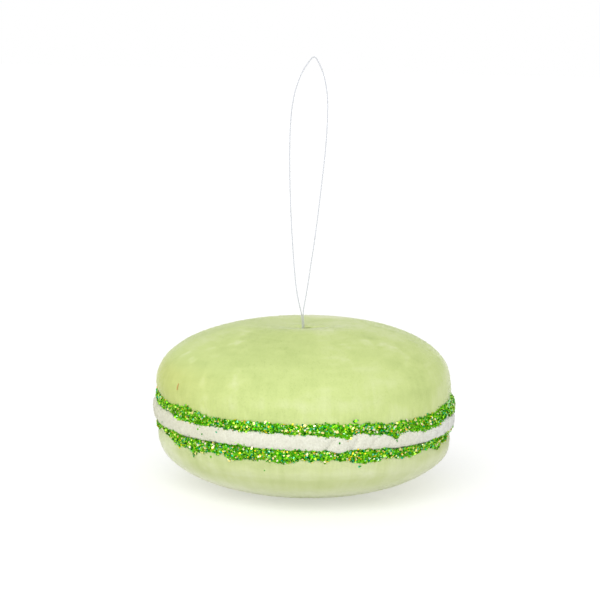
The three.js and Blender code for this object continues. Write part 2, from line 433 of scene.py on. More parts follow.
# Up the left leg, over the top and down the right one, in mm from the mid-plane.
LOOP_ROUTE = [
    (-1.52, -6.12, 35.10), (-1.68, -6.16, 37.40), (-1.90, -6.20, 39.60), (-2.26, -6.22, 41.60),
    (-3.24, -6.15, 45.40), (-4.36, -6.05, 51.00), (-5.38, -5.95, 59.60), (-6.32, -5.80, 69.80),
    (-7.16, -5.65, 80.90), (-7.78, -5.50, 92.50), (-8.15, -5.35, 104.5), (-8.12, -5.20, 114.0),
    (-7.70, -5.15, 121.5), (-6.75, -5.10, 127.6), (-5.10, -5.05, 133.2), (-3.10, -5.00, 137.6),
    (-1.35, -5.00, 140.2), (-0.30, -5.00, 141.60), (0.62, -5.00, 142.05), (1.50, -4.99, 141.40),
    (2.60, -4.98, 139.6), (4.20, -4.95, 136.0), (5.35, -4.92, 131.8), (6.16, -4.92, 126.4),
    (6.38, -4.95, 119.0), (6.05, -5.00, 108.5), (5.30, -5.08, 98.8), (4.35, -5.20, 88.6),
    (3.35, -5.35, 78.4), (2.25, -5.50, 68.5), (1.15, -5.62, 60.0), (0.02, -5.72, 51.1),
    (-0.90, -5.80, 45.00), (-1.38, -5.84, 41.60), (-1.34, -5.86, 39.60), (-1.12, -5.87, 37.40),
    (-0.94, -5.87, 35.10),
]
# The ends run on into the pucker in the velvet.
LOOP_ROUTE = [(-1.42, -6.08, 33.4)] + LOOP_ROUTE + [(-0.88, -5.88, 33.4)]


def through(points, per_step):
    """A smooth line through the points (centripetal Catmull-Rom)."""
    p = np.asarray(points, float)
    p = np.concatenate([[2 * p[0] - p[1]], p, [2 * p[-1] - p[-2]]])
    out = []
    for i in range(1, len(p) - 2):
        p0, p1, p2, p3 = p[i - 1:i + 3]
        t0 = 0.0
        t1 = t0 + np.linalg.norm(p1 - p0) ** 0.5
        t2 = t1 + np.linalg.norm(p2 - p1) ** 0.5
        t3 = t2 + np.linalg.norm(p3 - p2) ** 0.5
        for t in np.linspace(t1, t2, per_step, endpoint=False):
            a1 = (t1 - t) / (t1 - t0) * p0 + (t - t0) / (t1 - t0) * p1
            a2 = (t2 - t) / (t2 - t1) * p1 + (t - t1) / (t2 - t1) * p2
            a3 = (t3 - t) / (t3 - t2) * p2 + (t - t2) / (t3 - t2) * p3
            b1 = (t2 - t) / (t2 - t0) * a1 + (t - t0) / (t2 - t0) * a2
            b2 = (t3 - t) / (t3 - t1) * a2 + (t - t1) / (t3 - t1) * a3
            out.append((t2 - t) / (t2 - t1) * b1 + (t - t1) / (t2 - t1) * b2)
    out.append(p[-2])
    return np.array(out)


nylon = Nodes("nylon").set(Base_Color=(0.735, 0.755, 0.800, 1), Roughness=0.15, IOR=1.53)
nylon.shader.inputs["Transmission Weight"].default_value = 0.5

loop_line = to_row(through(LOOP_ROUTE, 8))
loop_curve = bpy.data.curves.new("nylon_loop", "CURVE")
loop_curve.dimensions = "3D"
loop_curve.bevel_depth = THREAD_D / 2000.0
loop_curve.bevel_resolution = 3
loop_curve.use_fill_caps = True
spline = loop_curve.splines.new("POLY")
spline.points.add(len(loop_line) - 1)
spline.points.foreach_set("co", np.c_[loop_line, np.ones(len(loop_line))].ravel())
loop_curve.materials.append(nylon.material)
nylon_loop = bpy.data.objects.new("nylon_loop", loop_curve)
scene.collection.objects.link(nylon_loop)
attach(nylon_loop, "root")
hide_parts("hanging_loop")

# ---- edges of the glitter bands -----------------------------------------------------------

# Height of each edge at azimuths in degrees from the front, as assembled.
EDGES = {
    "upper_top": [(-104, 8.4), (-90, 8.7), (-80, 8.9), (-70, 8.5), (-66.3, 7.56), (-60, 7.58), (-53, 7.77), (-49.7, 8.84), (-46, 7.38), (-43.6, 7.59), (-40, 6.35), (-30, 6.06), (-25.5, 6.66), (-23, 6.93), (-20, 6.76), (-18, 6.72), (-15.6, 6.7), (-8, 6.51), (-6.2, 6.57), (0, 6.14), (4, 6.97), (5.4, 7.02), (13, 6.67), (17, 6.48), (19, 6.76), (21, 6.24), (23, 7.26), (24.7, 7.07), (28, 6.2), (33, 5.76), (40, 6.28), (50, 6.32), (58, 7.03), (59.5, 7.31), (63, 7.94), (64.5, 8.15), (68, 8.69), (70.5, 8.91), (76, 9), (82, 9), (92, 8.6)],
    "upper_low": [(-104, 4.2), (-96, 5.2), (-88, 5.4), (-82, 4.8), (-74, 4.4), (-66, 4.33), (-62, 4.46), (-57, 3.32), (-52.6, 2.79), (-50, 2.73), (-45.5, 2.97), (-40, 2.58), (-35, 3.22), (-30, 2.81), (-25, 2.9), (-20, 2.99), (-18, 3.13), (-15.6, 3.11), (-13.2, 3.01), (-10.9, 3.02), (-8.5, 3.12), (-5, 2.97), (5, 2.67), (7.7, 2.53), (10.1, 2.44), (12, 2.5), (15.6, 1.47), (18, 2.65), (19.7, 3.02), (22, 3.48), (26, 2.16), (31, 2.06), (32.6, 1.32), (35, 0.04), (37.5, 1.82), (40, 2.43), (44.5, 1.9), (50, 1.15), (55.2, 1.32), (60, 1.61), (64.5, 2.58), (66, 2.84), (70.5, 3.36), (75, 2.8), (92, 3)],
    "lower_top": [(-90, -3.6), (-80, -3), (-72, -2.6), (-65, -2.45), (-57, -2.08), (-52.6, -2.71), (-50, -3.21), (-40, -3.52), (-30, -2.53), (-25.5, -2.52), (-22, -2.28), (-20.5, -2.58), (-19, -2.96), (-10.9, -2.87), (-8, -3.07), (-6.2, -3.04), (-3.9, -2.92), (-1.5, -2.88), (0.8, -2.84), (5, -2.7), (9, -3.12), (12.5, -3.78), (15, -3.18), (18, -2.53), (23, -2.61), (24.7, -3.03), (27, -3.66), (31, -2.91), (32.6, -3.44), (35, -4.08), (38.3, -4.09), (45, -3.6), (50, -4.05), (55.2, -3.13), (58, -2.82), (59.5, -2.84), (64.5, -2.86), (66, -2.84), (70.5, -2.57), (72, -2.52), (75, -2.5), (77.5, -2.3), (80, -2.7), (84, -3), (92, -3)],
    "lower_low": [(-90, -6), (-80, -5.6), (-74, -4.6), (-70, -4.2), (-66.3, -4.96), (-64, -5.06), (-61.1, -6.09), (-58, -7.04), (-54.5, -8.04), (-52.6, -7.51), (-51, -7.12), (-49, -7.48), (-47.5, -7.72), (-45.4, -9.79), (-43, -8.01), (-39, -7.62), (-36, -6.81), (-34, -7.42), (-31.5, -6.66), (-28.3, -8.88), (-25, -8.43), (-23, -8.18), (-20, -7.41), (-18, -8.02), (-15.6, -7.5), (-14, -7.23), (-8, -8.65), (-6.2, -8.34), (-3, -7.5), (0, -6.38), (2.4, -7.12), (5, -6.51), (8, -7.61), (10, -6.78), (12.4, -6.82), (16, -7.08), (20, -8.11), (23, -8.59), (24.7, -8.34), (28, -7.72), (29.9, -7.53), (32, -7.16), (35.4, -7.58), (38.3, -8.07), (40, -8.19), (45, -7.81), (49, -6.85), (51.4, -6.69), (54, -6.37), (57, -6.57), (59, -7.3), (61, -8.19), (63.4, -8.17), (65, -6.33), (66.4, -5.16), (67.6, -5.98), (70, -7.03), (72, -6.24), (73.5, -5), (77, -4.6), (82, -4.4), (92, -5)],
}


def edge(name, phi):
    """Height of a band's edge. Away from the front it wanders in the same way. The glue
    line is ragged all round."""
    table = EDGES[name]
    deg_ = np.degrees(wrap(phi))
    mean = {"upper_top": 7.6, "upper_low": 2.6, "lower_top": -3.0, "lower_low": -7.4}[name]
    front = np.interp(deg_, [t[0] for t in table], [t[1] for t in table])
    seed = sorted(EDGES).index(name) * 7 + 5
    ring = np.stack([59 * np.sin(phi), -59 * np.cos(phi), np.zeros_like(phi)], -1)
    back = mean + 0.75 * noise(ring, 8.0, seed) + 0.5 * noise(ring, 3.2, seed + 1)
    share = smooth((np.abs(deg_) - 90) / 14)
    ragged = 0.34 * noise(ring, 1.7, seed + 2) + 0.20 * noise(ring, 0.8, seed + 3)
    return front * (1 - share) + back * share + ragged


def azimuth(p):
    return np.arctan2(p[..., 0], -p[..., 1])


# ---- velvet ------------------------------------------------------------------------------

# Strokes where the pile was brushed over: two ends in mm, width, and how much paler.
STROKES_TOP = [
    ((-27.0, -30.0), (-25.2, -28.9), 2.4, 0.30), ((-24.6, -28.6), (-23.0, -28.0), 2.0, 0.18),
    ((-25.4, -16.3), (-22.6, -17.1), 2.6, 0.22), ((-36.4, -26.8), (-35.0, -27.6), 1.0, 0.20),
    ((-34.2, -33.8), (-33.0, -34.9), 1.2, 0.16), ((-43.2, -28.1), (-42.2, -31.1), 1.1, 0.28),
    ((-47.3, -21.6), (-45.2, -22.0), 1.2, 0.25), ((-24.9, -47.8), (-25.8, -51.7), 1.3, 0.16),
    ((-37.9, -42.7), (-37.8, -44.4), 2.0, 0.18), ((-34.3, -46.0), (-34.0, -46.8), 1.5, 0.10),
    ((22.4, -27.3), (26.2, -29.3), 3.0, 0.11), ((26.2, -29.3), (30.9, -27.2), 3.6, 0.12),
    ((30.9, -27.2), (35.2, -27.7), 3.8, 0.15), ((35.2, -27.7), (37.4, -29.4), 3.0, 0.10),
    ((14.5, -34.1), (17.6, -38.1), 1.2, 0.14), ((39.2, -35.0), (40.6, -30.5), 1.4, 0.20),
    ((16.0, -45.0), (18.2, -46.5), 1.3, 0.12), ((3.0, -18.7), (11.2, -20.7), 1.0, 0.26),
    ((3.0, 18.9), (14.4, 13.5), 3.4, 0.50), ((-15.6, -12.6), (-15.0, -12.8), 0.8, 0.30),
    ((-10.2, -5.9), (-9.8, -6.1), 0.8, 0.26), ((-7.0, -39.1), (-6.8, -39.1), 0.6, -0.24),
    ((44.7, -33.4), (42.0, -38.5), 8.5, -0.12), ((-54.3, -18.3), (-53.0, -21.0), 6.0, -0.16),
    ((-6.0, -14.0), (-16.0, -8.0), 5.0, -0.10), ((24.0, -24.0), (30.0, -23.0), 2.0, -0.07),
    ((12.0, 27.0), (22.0, 22.0), 1.6, 0.18), ((-22.0, 31.0), (-16.0, 35.0), 1.6, 0.26),
    ((34.0, 18.0), (39.0, 12.0), 1.5, 0.22), ((-38.0, 14.0), (-40.0, 20.0), 1.8, 0.24),
    ((5.0, 43.0), (12.0, 44.0), 1.8, 0.24), ((28.0, 40.0), (34.0, 36.0), 1.4, 0.20),
    ((-48.0, 6.0), (-49.0, 12.0), 3.5, -0.16), ((-8.0, 50.0), (-3.0, 51.0), 1.4, 0.22),
    ((1.5, 5.0), (4.5, 7.0), 1.6, -0.30),
]
STROKES_LOW = [
    ((-39.0, -43.0), (-35.0, -46.0), 2.0, 0.20), ((22.0, -54.0), (26.0, -52.0), 2.2, 0.16),
    ((41.0, -38.0), (44.0, -35.0), 2.0, 0.14), ((30.0, 45.0), (36.0, 40.0), 2.0, 0.24),
    ((-30.0, 46.0), (-25.0, 50.0), 2.0, 0.22), ((-52.0, 12.0), (-53.0, 18.0), 2.2, 0.20),
]


def fold_line(dx):
    """The small fold that runs off to the right in front of the loop's exit."""
    return -2.1 - 0.06 * dx


def fold_run(dx):
    return smooth((dx + 0.3) / 0.5) * smooth((3.9 - dx) / 1.2)


def nap_and_painted_light(p, upper):
    """How pale the pile lies at points as turned: 0 dark, about 0.5 over most, 1 pale; on
    the lower shell 1 is very pale. Besides the pile's own lay it holds painted sheen, paler where
    the shells are seen at grazing angles, and the painted shade of the fold at the loop's exit."""
    x, y, z = p[..., 0], p[..., 1], p[..., 2]
    r = np.hypot(x, y)
    phi = azimuth(p)
    # Patches are drawn out along the girth, where brushing went round.
    k = 1 - 0.6 * smooth((r - 20) / 35)
    k = np.where(r > 1e-6, k, 1.0)
    q = np.stack([x * k, y * k, z], -1)
    out = 0.5 + 0.11 * noise(q, 8.0, 31) + 0.10 * noise(q + 50, 4.0, 32) + 0.07 * noise(q - 90, 1.9, 33)
    # Fine streaks of pile round the dome.
    round_ = np.stack([r / 1.5 + 0.5 * noise(p, 6.0, 40), 38.0 * phi / 8.0, np.zeros_like(r)], -1)
    out = out + 0.07 * noise(round_, 1.0, 41) * smooth((r - 12) / 8) * smooth((z - 16) / 8)
    # Streaks of pile that run up and down, soft and broad.
    drum = np.stack([59 * np.sin(phi), -59 * np.cos(phi), 0.16 * z], -1)
    on_side = smooth((r - 40) / 10)
    left = 0.45 + 0.55 * bell(phi, -28, 26)
    low_side = on_side * smooth((26 - z) / 7)
    out = out + 0.11 * low_side * left * noise(drum, 2.1, 34) + 0.05 * low_side * noise(drum, 1.0, 35)
    xs, ys = x + 0.9 * noise(p, 2.4, 38), y + 0.9 * noise(p, 2.4, 39)
    for (x0, y0), (x1, y1), width, much in STROKES_TOP if upper else STROKES_LOW:
        dx, dy = x1 - x0, y1 - y0
        t = np.clip(((xs - x0) * dx + (ys - y0) * dy) / max(dx * dx + dy * dy, 1e-9), 0, 1)
        d = np.hypot(xs - x0 - t * dx, ys - y0 - t * dy)
        much = much * (1 + 0.5 * noise(p, 1.3, 36))
        out = out + much * np.exp(-((d / width) ** 2)) * (1.0 if upper else smooth((-z - 4) / 4))
    if upper:
        dx, dy = x - EXIT_X, y - EXIT_Y
        # Painted shade: a dark line along the fold in front of the loop's exit, where the fold is in shade.
        out = out - 0.8 * np.exp(-(((dy - fold_line(dx) + 0.30) / 0.32) ** 2)) * fold_run(dx)
        # Painted sheen: paler over the top and down the right side, where the velvet is seen at grazing angles.
        out = out + 0.19 * smooth((36 - r) / 24) - 0.03 * smooth((13 - z) / 3)
        out = out + 0.28 * bell(phi, 78, 24) * smooth((27 - z) / 9) - 0.06 * bell(phi, -76, 18) * smooth((27 - z) / 9)
        out = out + 0.16 * bell(phi, -72, 12) * smooth((15 - z) / 5)
        out = out - 0.17 * np.exp(-(((x + 14) / 23) ** 2)) * smooth((20 - y) / 20) + 0.07 * bell(phi, 30, 20) * smooth((17 - z) / 4)
        out = out + 0.04 * bell(phi, 8, 34) * smooth((z - 10) / 4) * smooth((30 - z) / 5)
        out = out + (0.20 * smooth((22 - z) / 7) - 0.08 * smooth((13 - z) / 3)) * bell(phi, 0, 17) + 0.10 * bell(phi, -42, 14) * smooth((24 - z) / 7)
    else:
        # The pile changes its lay low on the side.
        step = -14.4 + 0.5 * noise(drum, 9.0, 37)
        out = out - 0.13 * smooth((step - z) / 0.9) * (0.35 + 0.65 * bell(phi, 0, 24))
        # Painted sheen: paler towards the bottom, where the underside is seen at grazing angles.
        out = out + 0.06 + 0.36 * smooth((-z - 15) / 9)
        out = out - 0.10 * bell(phi, -40, 18) * smooth((z + 17) / 5) + 0.22 * bell(phi, -66, 13)
        out = out - (0.10 + 0.10 * bell(phi, -20, 22) + 0.10 * bell(phi, 22, 14)) * smooth((z + 13) / 4)
        # Painted sheen: paler low on the sides and at the lower left, where the underside is seen at grazing angles.
        out = out + (0.22 + 0.12 * np.sin(phi)) * smooth((np.abs(np.sin(phi)) - 0.72) / 0.25) * smooth((-z - 8) / 4)
        out = out + 0.16 * bell(phi, -41, 14) * smooth((-z - 14) / 4)
        out = out * 0.82
    return np.clip(out, 0.0, 1.0)


# The darkest stop, a dark olive, is painted shade for the fold at the loop's exit.
VELVET_TOP = [(0.0, (0.245, 0.270, 0.145)), (0.08, (0.430, 0.525, 0.190)), (0.5, (0.535, 0.625, 0.250)), (1.0, (0.670, 0.724, 0.418))]
# The lower shell's tones are greyer and bluer than the upper's: painted sheen for the underside seen at grazing angles,
# most of all in the palest stops.
VELVET_LOW = [(0.0, (0.420, 0.500, 0.190)), (0.4, (0.550, 0.605, 0.310)), (0.7, (0.640, 0.680, 0.440)), (1.0, (0.750, 0.763, 0.570))]
WARM = (1.02, 0.955, 0.82)      # where the pile at the left end looks yellower
VELVET_SHEEN = dict(Roughness=0.92, Sheen_Weight=0.85, Sheen_Roughness=0.2, Sheen_Tint=(1.0, 1.0, 0.95, 1.0))


def warmth(p, upper):
    """Share of the yellower tone at points as turned."""
    phi = azimuth(p)
    if not upper:
        return np.zeros(len(p))
    return bell(phi, -72, 32) * smooth((27 - p[:, 2]) / 8) * smooth((np.hypot(p[:, 0], p[:, 1]) - 35) / 15)


def velvet_material(name, upper):
    n = Nodes(name).set(**VELVET_SHEEN)
    n.shader.inputs["Specular IOR Level"].default_value = 0.12
    base = n.ramp("nap_and_painted_light", VELVET_TOP if upper else VELVET_LOW)
    warm = n.new("Attribute")
    warm.attribute_name = "warm"
    base = n.mix(warm.outputs["Fac"], base, n.mix(1.0, base, WARM, "MULTIPLY"))
    vector, height, radius, drum_x, drum_y = n.place()
    # Fine ribs of pile next to the glitter, and the grain of the pile everywhere.
    ribs = n.noise(n.combine(drum_x, drum_y, n.math("MULTIPLY", height, 0.12)), 1.25, 1.0, 0.5)
    grain = n.noise(vector, 2.4, 2.0, 0.7)
    near = n.range(height, 8.0, 15.0, 1.0, 0.0) if upper else n.range(height, -15.0, -9.0, 0.0, 0.7)
    rib_tone = n.math("MULTIPLY", n.math("SUBTRACT", ribs, 0.5), n.math("MULTIPLY_ADD", near, 0.16, 0.02))
    grain_tone = n.math("MULTIPLY", n.math("SUBTRACT", grain, 0.5), 0.09)
    tone = n.math("ADD", 1.0, n.math("ADD", rib_tone, grain_tone))
    n.feed(n.shader, "Base Color", n.mix(1.0, base, n.combine(tone, tone, tone), "MULTIPLY"))
    relief = n.math("ADD", n.noise(vector, 1.7, 3.0, 0.7), n.math("MULTIPLY", ribs, n.math("MULTIPLY", near, 0.8)))
    n.feed(n.shader, "Normal", n.bump(relief, 0.0003, 0.45))
    return n.material


def pile_material(name, upper):
    n = Nodes(name).set(**VELVET_SHEEN)
    n.shader.inputs["Specular IOR Level"].default_value = 0.12
    # The first half of the scale is the plain tone, the second the yellower one.
    stops = VELVET_TOP if upper else VELVET_LOW
    plain = [(at * 0.499, colour) for at, colour in stops]
    yellow = [(0.5 + at * 0.5, tuple(c * w for c, w in zip(colour, WARM))) for at, colour in stops]
    n.feed(n.shader, "Base Color", n.ramp("nap_and_painted_light", plain + yellow))
    return n.material


def undulation(p):
    """The unevenness of foam under cloth, in mm along the surface's normal."""
    return 0.14 * noise(p, 17.0, 3) + 0.06 * noise(p, 6.5, 4) + 0.025 * noise(p, 2.6, 5)


SEGMENTS = 480


def shell_rings_top():
    rings = [(0.0, SEAT), (20.0, SEAT), (40.0, SEAT), (52.0, SEAT), (55.2, SEAT + 0.05), (57.2, 3.5), (58.0, 4.1), (58.5, 4.9), (58.7, 5.9), (58.8, 6.8), (58.86, 7.6), (58.90, 8.4), (58.94, 9.3), (58.98, 10.4)]
    steps = 104
    for i in range(steps, 0, -1):
        a = i / steps * math.pi / 2
        r = TOP_R * math.sin(a) ** (2 / TOP_PR)
        if r > 6.0:
            rings.append((r, 99.0))
    for r in (5.6, 5.2, 4.8, 4.5, 4.2, 3.9, 3.65, 3.4, 3.2, 3.0, 2.85, 2.7, 2.55, 2.4, 2.25, 2.1, 1.95, 1.8, 1.6, 1.4, 1.2, 1.0, 0.8, 0.6, 0.4, 0.2):
        rings.append((r, 99.0))
    rings.append((0.0, 99.0))
    return rings


def shape_top(p):
    p = p.copy()
    dome = p[:, 2] > 90
    x, y = p[dome, 0], p[dome, 1]
    w = (1 - np.clip(np.hypot(x, y) / 40, 0, 1) ** 2) ** 2
    x, y = x + EXIT_X * w, y + EXIT_Y * w
    q = np.stack([x, y, top_surface(x, y)], 1)
    # Folds that the pulled thread gathers, one running off to the right.
    dx, dy = x - EXIT_X, y - EXIT_Y
    fold = 0.55 * np.exp(-((dy + 0.12 * dx) / 0.55) ** 2) * smooth(dx / 0.8) * smooth((4.2 - dx) / 3.0)
    ridge = 0.22 * np.exp(-((dy + 1.5 - 0.1 * dx) / 0.9) ** 2) * smooth((dx + 0.5) / 2.0) * smooth((13.0 - dx) / 7.0)
    back, ahead = dy - fold_line(dx), fold_line(dx) - dy
    pinch = 0.34 * np.where(back > 0, np.exp(-((back / 0.8) ** 2)), np.exp(-((ahead / 0.28) ** 2))) * fold_run(dx)
    # In front of the exit the pull of the thread draws the velvet down.
    drawn = 0.75 * np.exp(-((dx / 8.0) ** 2) - ((dy + 4.0) / 4.5) ** 2)
    q[:, 2] += ridge - fold + pinch - drawn
    p[dome] = q
    out = unit(np.stack([p[:, 0] / TOP_R ** 2, p[:, 1] / TOP_R ** 2, np.maximum(p[:, 2] - TOP_WIDE, 0) / TOP_DOME ** 2], 1) + 1e-9)
    return p + out * (undulation(p) * smooth((p[:, 2] - 8) / 4))[:, None]


def shell_rings_low():
    rings = [(0.0, -SEAT), (20.0, -SEAT), (40.0, -SEAT), (52.0, -SEAT), (55.2, -SEAT), (57.0, -3.4), (57.8, -4.0), (58.25, -4.8), (58.4, -5.6), (58.48, -6.4), (58.52, -7.0), (58.55, -7.6)]
    steps = 76
    a0, a1 = math.asin((30.0 / LOW_R) ** (LOW_PR / 2)), math.asin(0.988 ** (LOW_PR / 2))
    side_ = []
    for i in range(steps + 1):
        r = LOW_R * math.sin(a0 + (a1 - a0) * i / steps) ** (2 / LOW_PR)
        z = float(low_surface(r))
        side_.append((r - LOW_TUCK * float(smooth((z + 14) / 6)), z))
    rings.append((58.6, side_[-1][1] + 0.7))
    rings += side_[::-1]
    rings += [(r, float(low_surface(r))) for r in np.arange(29.0, 15.5, -1.0)]
    rings += [(12.0, float(low_surface(12))), (6.0, float(low_surface(6))), (0.0, float(low_surface(0)))]
    return rings


def shape_low(p):
    r = np.hypot(p[:, 0], p[:, 1])
    out = unit(np.stack([p[:, 0] / LOW_R ** 2, p[:, 1] / LOW_R ** 2, np.minimum(p[:, 2], 0) / LOW_DROP ** 2], 1) + 1e-9)
    skin = smooth((-p[:, 2] - 9) / 3) * smooth((r - 20) / 8)
    return p + out * (undulation(p + 200.0) * skin)[:, None]


def brushed(p, normal, seed):
    """The way the pile lies: down the sides and outwards on top, with swirls."""
    down = unit(np.stack([p[:, 0], p[:, 1], np.zeros(len(p))], 1) * 0.6 + [0.0, 0.0, -30.0])
    down = unit(down - normal * (down * normal).sum(1, keepdims=True))
    across = np.cross(normal, down)
    turn = 1.1 * noise(p, 15.0, seed) + 0.5 * noise(p, 5.0, seed + 1)
    return down * np.cos(turn)[:, None] + across * np.sin(turn)[:, None]


PILE_GRID = 8
PILE_COUNT = 48000


def pile(name, upper, points, quads, light, warm, material, seed):
    rng = np.random.default_rng(seed)

    def weight(p):
        if upper:
            return smooth((p[:, 2] - edge("upper_top", azimuth(p)) + 0.9) / 0.3)
        return smooth((edge("lower_low", azimuth(p)) + 0.9 - p[:, 2]) / 0.3) * smooth((p[:, 2] + MID - 0.35) / 0.2)

    roots, normal, (light_, warm_) = scatter(rng, points, quads, PILE_COUNT, weight, [light, warm])
    lie = brushed(roots, normal, seed)
    lie = unit(lie + rng.normal(scale=0.28, size=lie.shape))
    rise = rng.uniform(0.10, 0.45, (len(roots), 1))
    way = unit(lie * np.cos(rise) + normal * np.sin(rise))
    length = rng.uniform(0.55, 0.9, len(roots))
    if not upper:
        length = np.minimum(length, np.maximum(0.25, (roots[:, 2] + MID) * 1.1))
    pts_, fcs_, shown = spikes(roots - normal * 0.06, normal, way, length + 0.12, rng.uniform(0.06, 0.10, len(roots)), 0.6)
    half_ = PILE_GRID ** 2 // 2
    # The fibres are a little paler than the surface under them: painted light against the shade they cast on each
    # other.
    level = np.clip(np.round((light_ + 0.05 + rng.normal(0, 0.035, len(roots))) * (half_ - 1)), 0, half_ - 1).astype(int)
    level = level + half_ * (rng.random(len(roots)) < warm_)
    uv = cell_map(level, PILE_GRID, TRIANGLE * 4)
    build(name, to_row(pts_), [fcs_], material, (), True, {"nap_and_painted_light": np.repeat(level / (PILE_GRID ** 2 - 1), 4)}, uv, shown)


for upper in (True, False):
    which = "top" if upper else "low"
    rings = shell_rings_top() if upper else shell_rings_low()
    pts, fcs, ring_of, angle_of = turned(rings, SEGMENTS)
    if not upper:
        fcs = [f[:, ::-1] for f in fcs]
    pts = shape_top(pts) if upper else shape_low(pts)
    ring_z = [pts[ring_of == k, 2].mean() for k in range(len(rings))]
    seen = 6 if upper else 7
    uv = disc_map(fcs, ring_of, angle_of, shell_radii(rings, ring_z, seen))
    light, warm_share = nap_and_painted_light(pts, upper), warmth(pts, upper)
    pts = assembled(pts)
    node = "top_shell" if upper else "bottom_shell"
    build("velvet_shell_" + which, to_row(pts), fcs, velvet_material("velvet_" + which, upper), [node], True, {"nap_and_painted_light": light, "warm": warm_share}, uv)
    quads = fcs[0][np.all(ring_of[fcs[0]] >= seen + 1, 1)]
    pile("velvet_pile_" + which, upper, pts, quads, light, warm_share, pile_material("pile_" + which, upper), 61 if upper else 71)

# ---- plush filling --------------------------------------------------------------------------

RIM = FILL_R - CORD_R

# Creases between the turns of the cord: azimuth in degrees at its middle, depth in mm,
# lean in degrees per mm of height, width in degrees, lowest and highest z.
CREASES = [
    (-16.6, 0.40, 1.1, 0.7, -3.4, -0.9), (9.9, 0.85, 0.85, 0.95, -3.6, 1.4), (18.9, 0.55, 0.64, 1.1, -3.2, 3.0),
    (26.2, 0.38, 0.7, 1.1, -3.4, 1.5), (33.4, 0.30, 0.7, 1.2, -3.4, 2.0), (41.0, 0.20, 0.8, 1.2, -3.0, 2.5),
    (-34.0, 0.12, 0.8, 1.0, -3.0, 2.5), (-58.0, 0.18, 0.9, 1.2, -3.0, 3.0), (60.0, 0.22, 0.8, 1.3, -3.0, 3.0),
]
rng_cord = np.random.default_rng(7)
for at in np.arange(70.0, 291.0, 8.6):
    CREASES.append((at + rng_cord.uniform(-1.6, 1.6), rng_cord.uniform(0.12, 0.6), rng_cord.uniform(0.6, 1.0), rng_cord.uniform(0.9, 1.3), -3.5, 3.2))
# Turns that stand out: azimuth, how far in mm, width in degrees, section angle and width.
LOBES = [
    (13.6, 0.75, 2.6, -0.95, 0.75), (14.5, 0.30, 3.2, 0.0, 0.8), (22.6, 0.65, 2.6, 0.95, 0.7), (29.5, 0.35, 2.8, 0.4, 0.9),
    (2.5, 0.22, 4.0, -0.6, 0.9), (-8.0, 0.15, 7.0, 0.0, 1.0), (37.0, 0.25, 3.0, -0.6, 0.9), (-24.0, 0.15, 6.0, -0.5, 0.9),
]


# The cord is pressed between the shells: its section is fuller than a circle, and taller.
CORD_FULL, CORD_TALL = 2.7, 1.12


def cord_section(phi, section):
    """Radius of the plush cord's section and how far it swells outwards, at azimuth phi
    and section angle 0 outwards."""
    z = CORD_R * np.sin(section)
    rad = CORD_R + 0.10 * np.sin(6 * phi + 1.3) + 0.07 * np.sin(11 * phi)
    for at, much, width, centre, spread in LOBES:
        rad = rad + much * bell(phi, at, width) * np.exp(-(((section - centre) / spread) ** 2))
    for at, depth, slant, width, lowest, highest in CREASES:
        line = wrap(phi - math.radians(at)) - np.radians(slant) * z
        window = smooth((z - lowest) / 0.7) * smooth((highest - z) / 0.7)
        rad = rad - depth * window * np.exp(-((line / math.radians(width)) ** 2))
    swell = 0.15 * np.sin(3 * phi + 0.6) + 0.25 * bell(phi, -92, 16) + (0.15 * bell(phi, -92, 16) + 0.11 * bell(phi, 92, 14)) * z
    lift = 1.2 * bell(phi, -92, 16) + 0.4 * bell(phi, 90, 16)
    tall = CORD_TALL + 0.22 * bell(phi, -92, 16)
    return rad, swell, lift, tall


def plush_reach(phi, z):
    """Radius of the plush cord's surface at azimuth phi and height z, 0 clear of it."""
    z = np.asarray(z, float)
    section = np.zeros_like(z)
    for _ in range(6):
        rad, swell, lift, tall = cord_section(phi, section)
        t = (z - lift) / (rad * tall)
        up = np.sign(t) * np.minimum(np.abs(t), 1) ** (CORD_FULL / 2)
        section = 0.4 * section + 0.6 * np.arcsin(up)
    c = np.sqrt(np.maximum(1 - up * up, 0))
    return np.where(np.abs(t) < 1, RIM + rad * c ** (2 / CORD_FULL) + swell * c * c, 0.0)


CORD_AROUND, CORD_ACROSS = 1440, 30


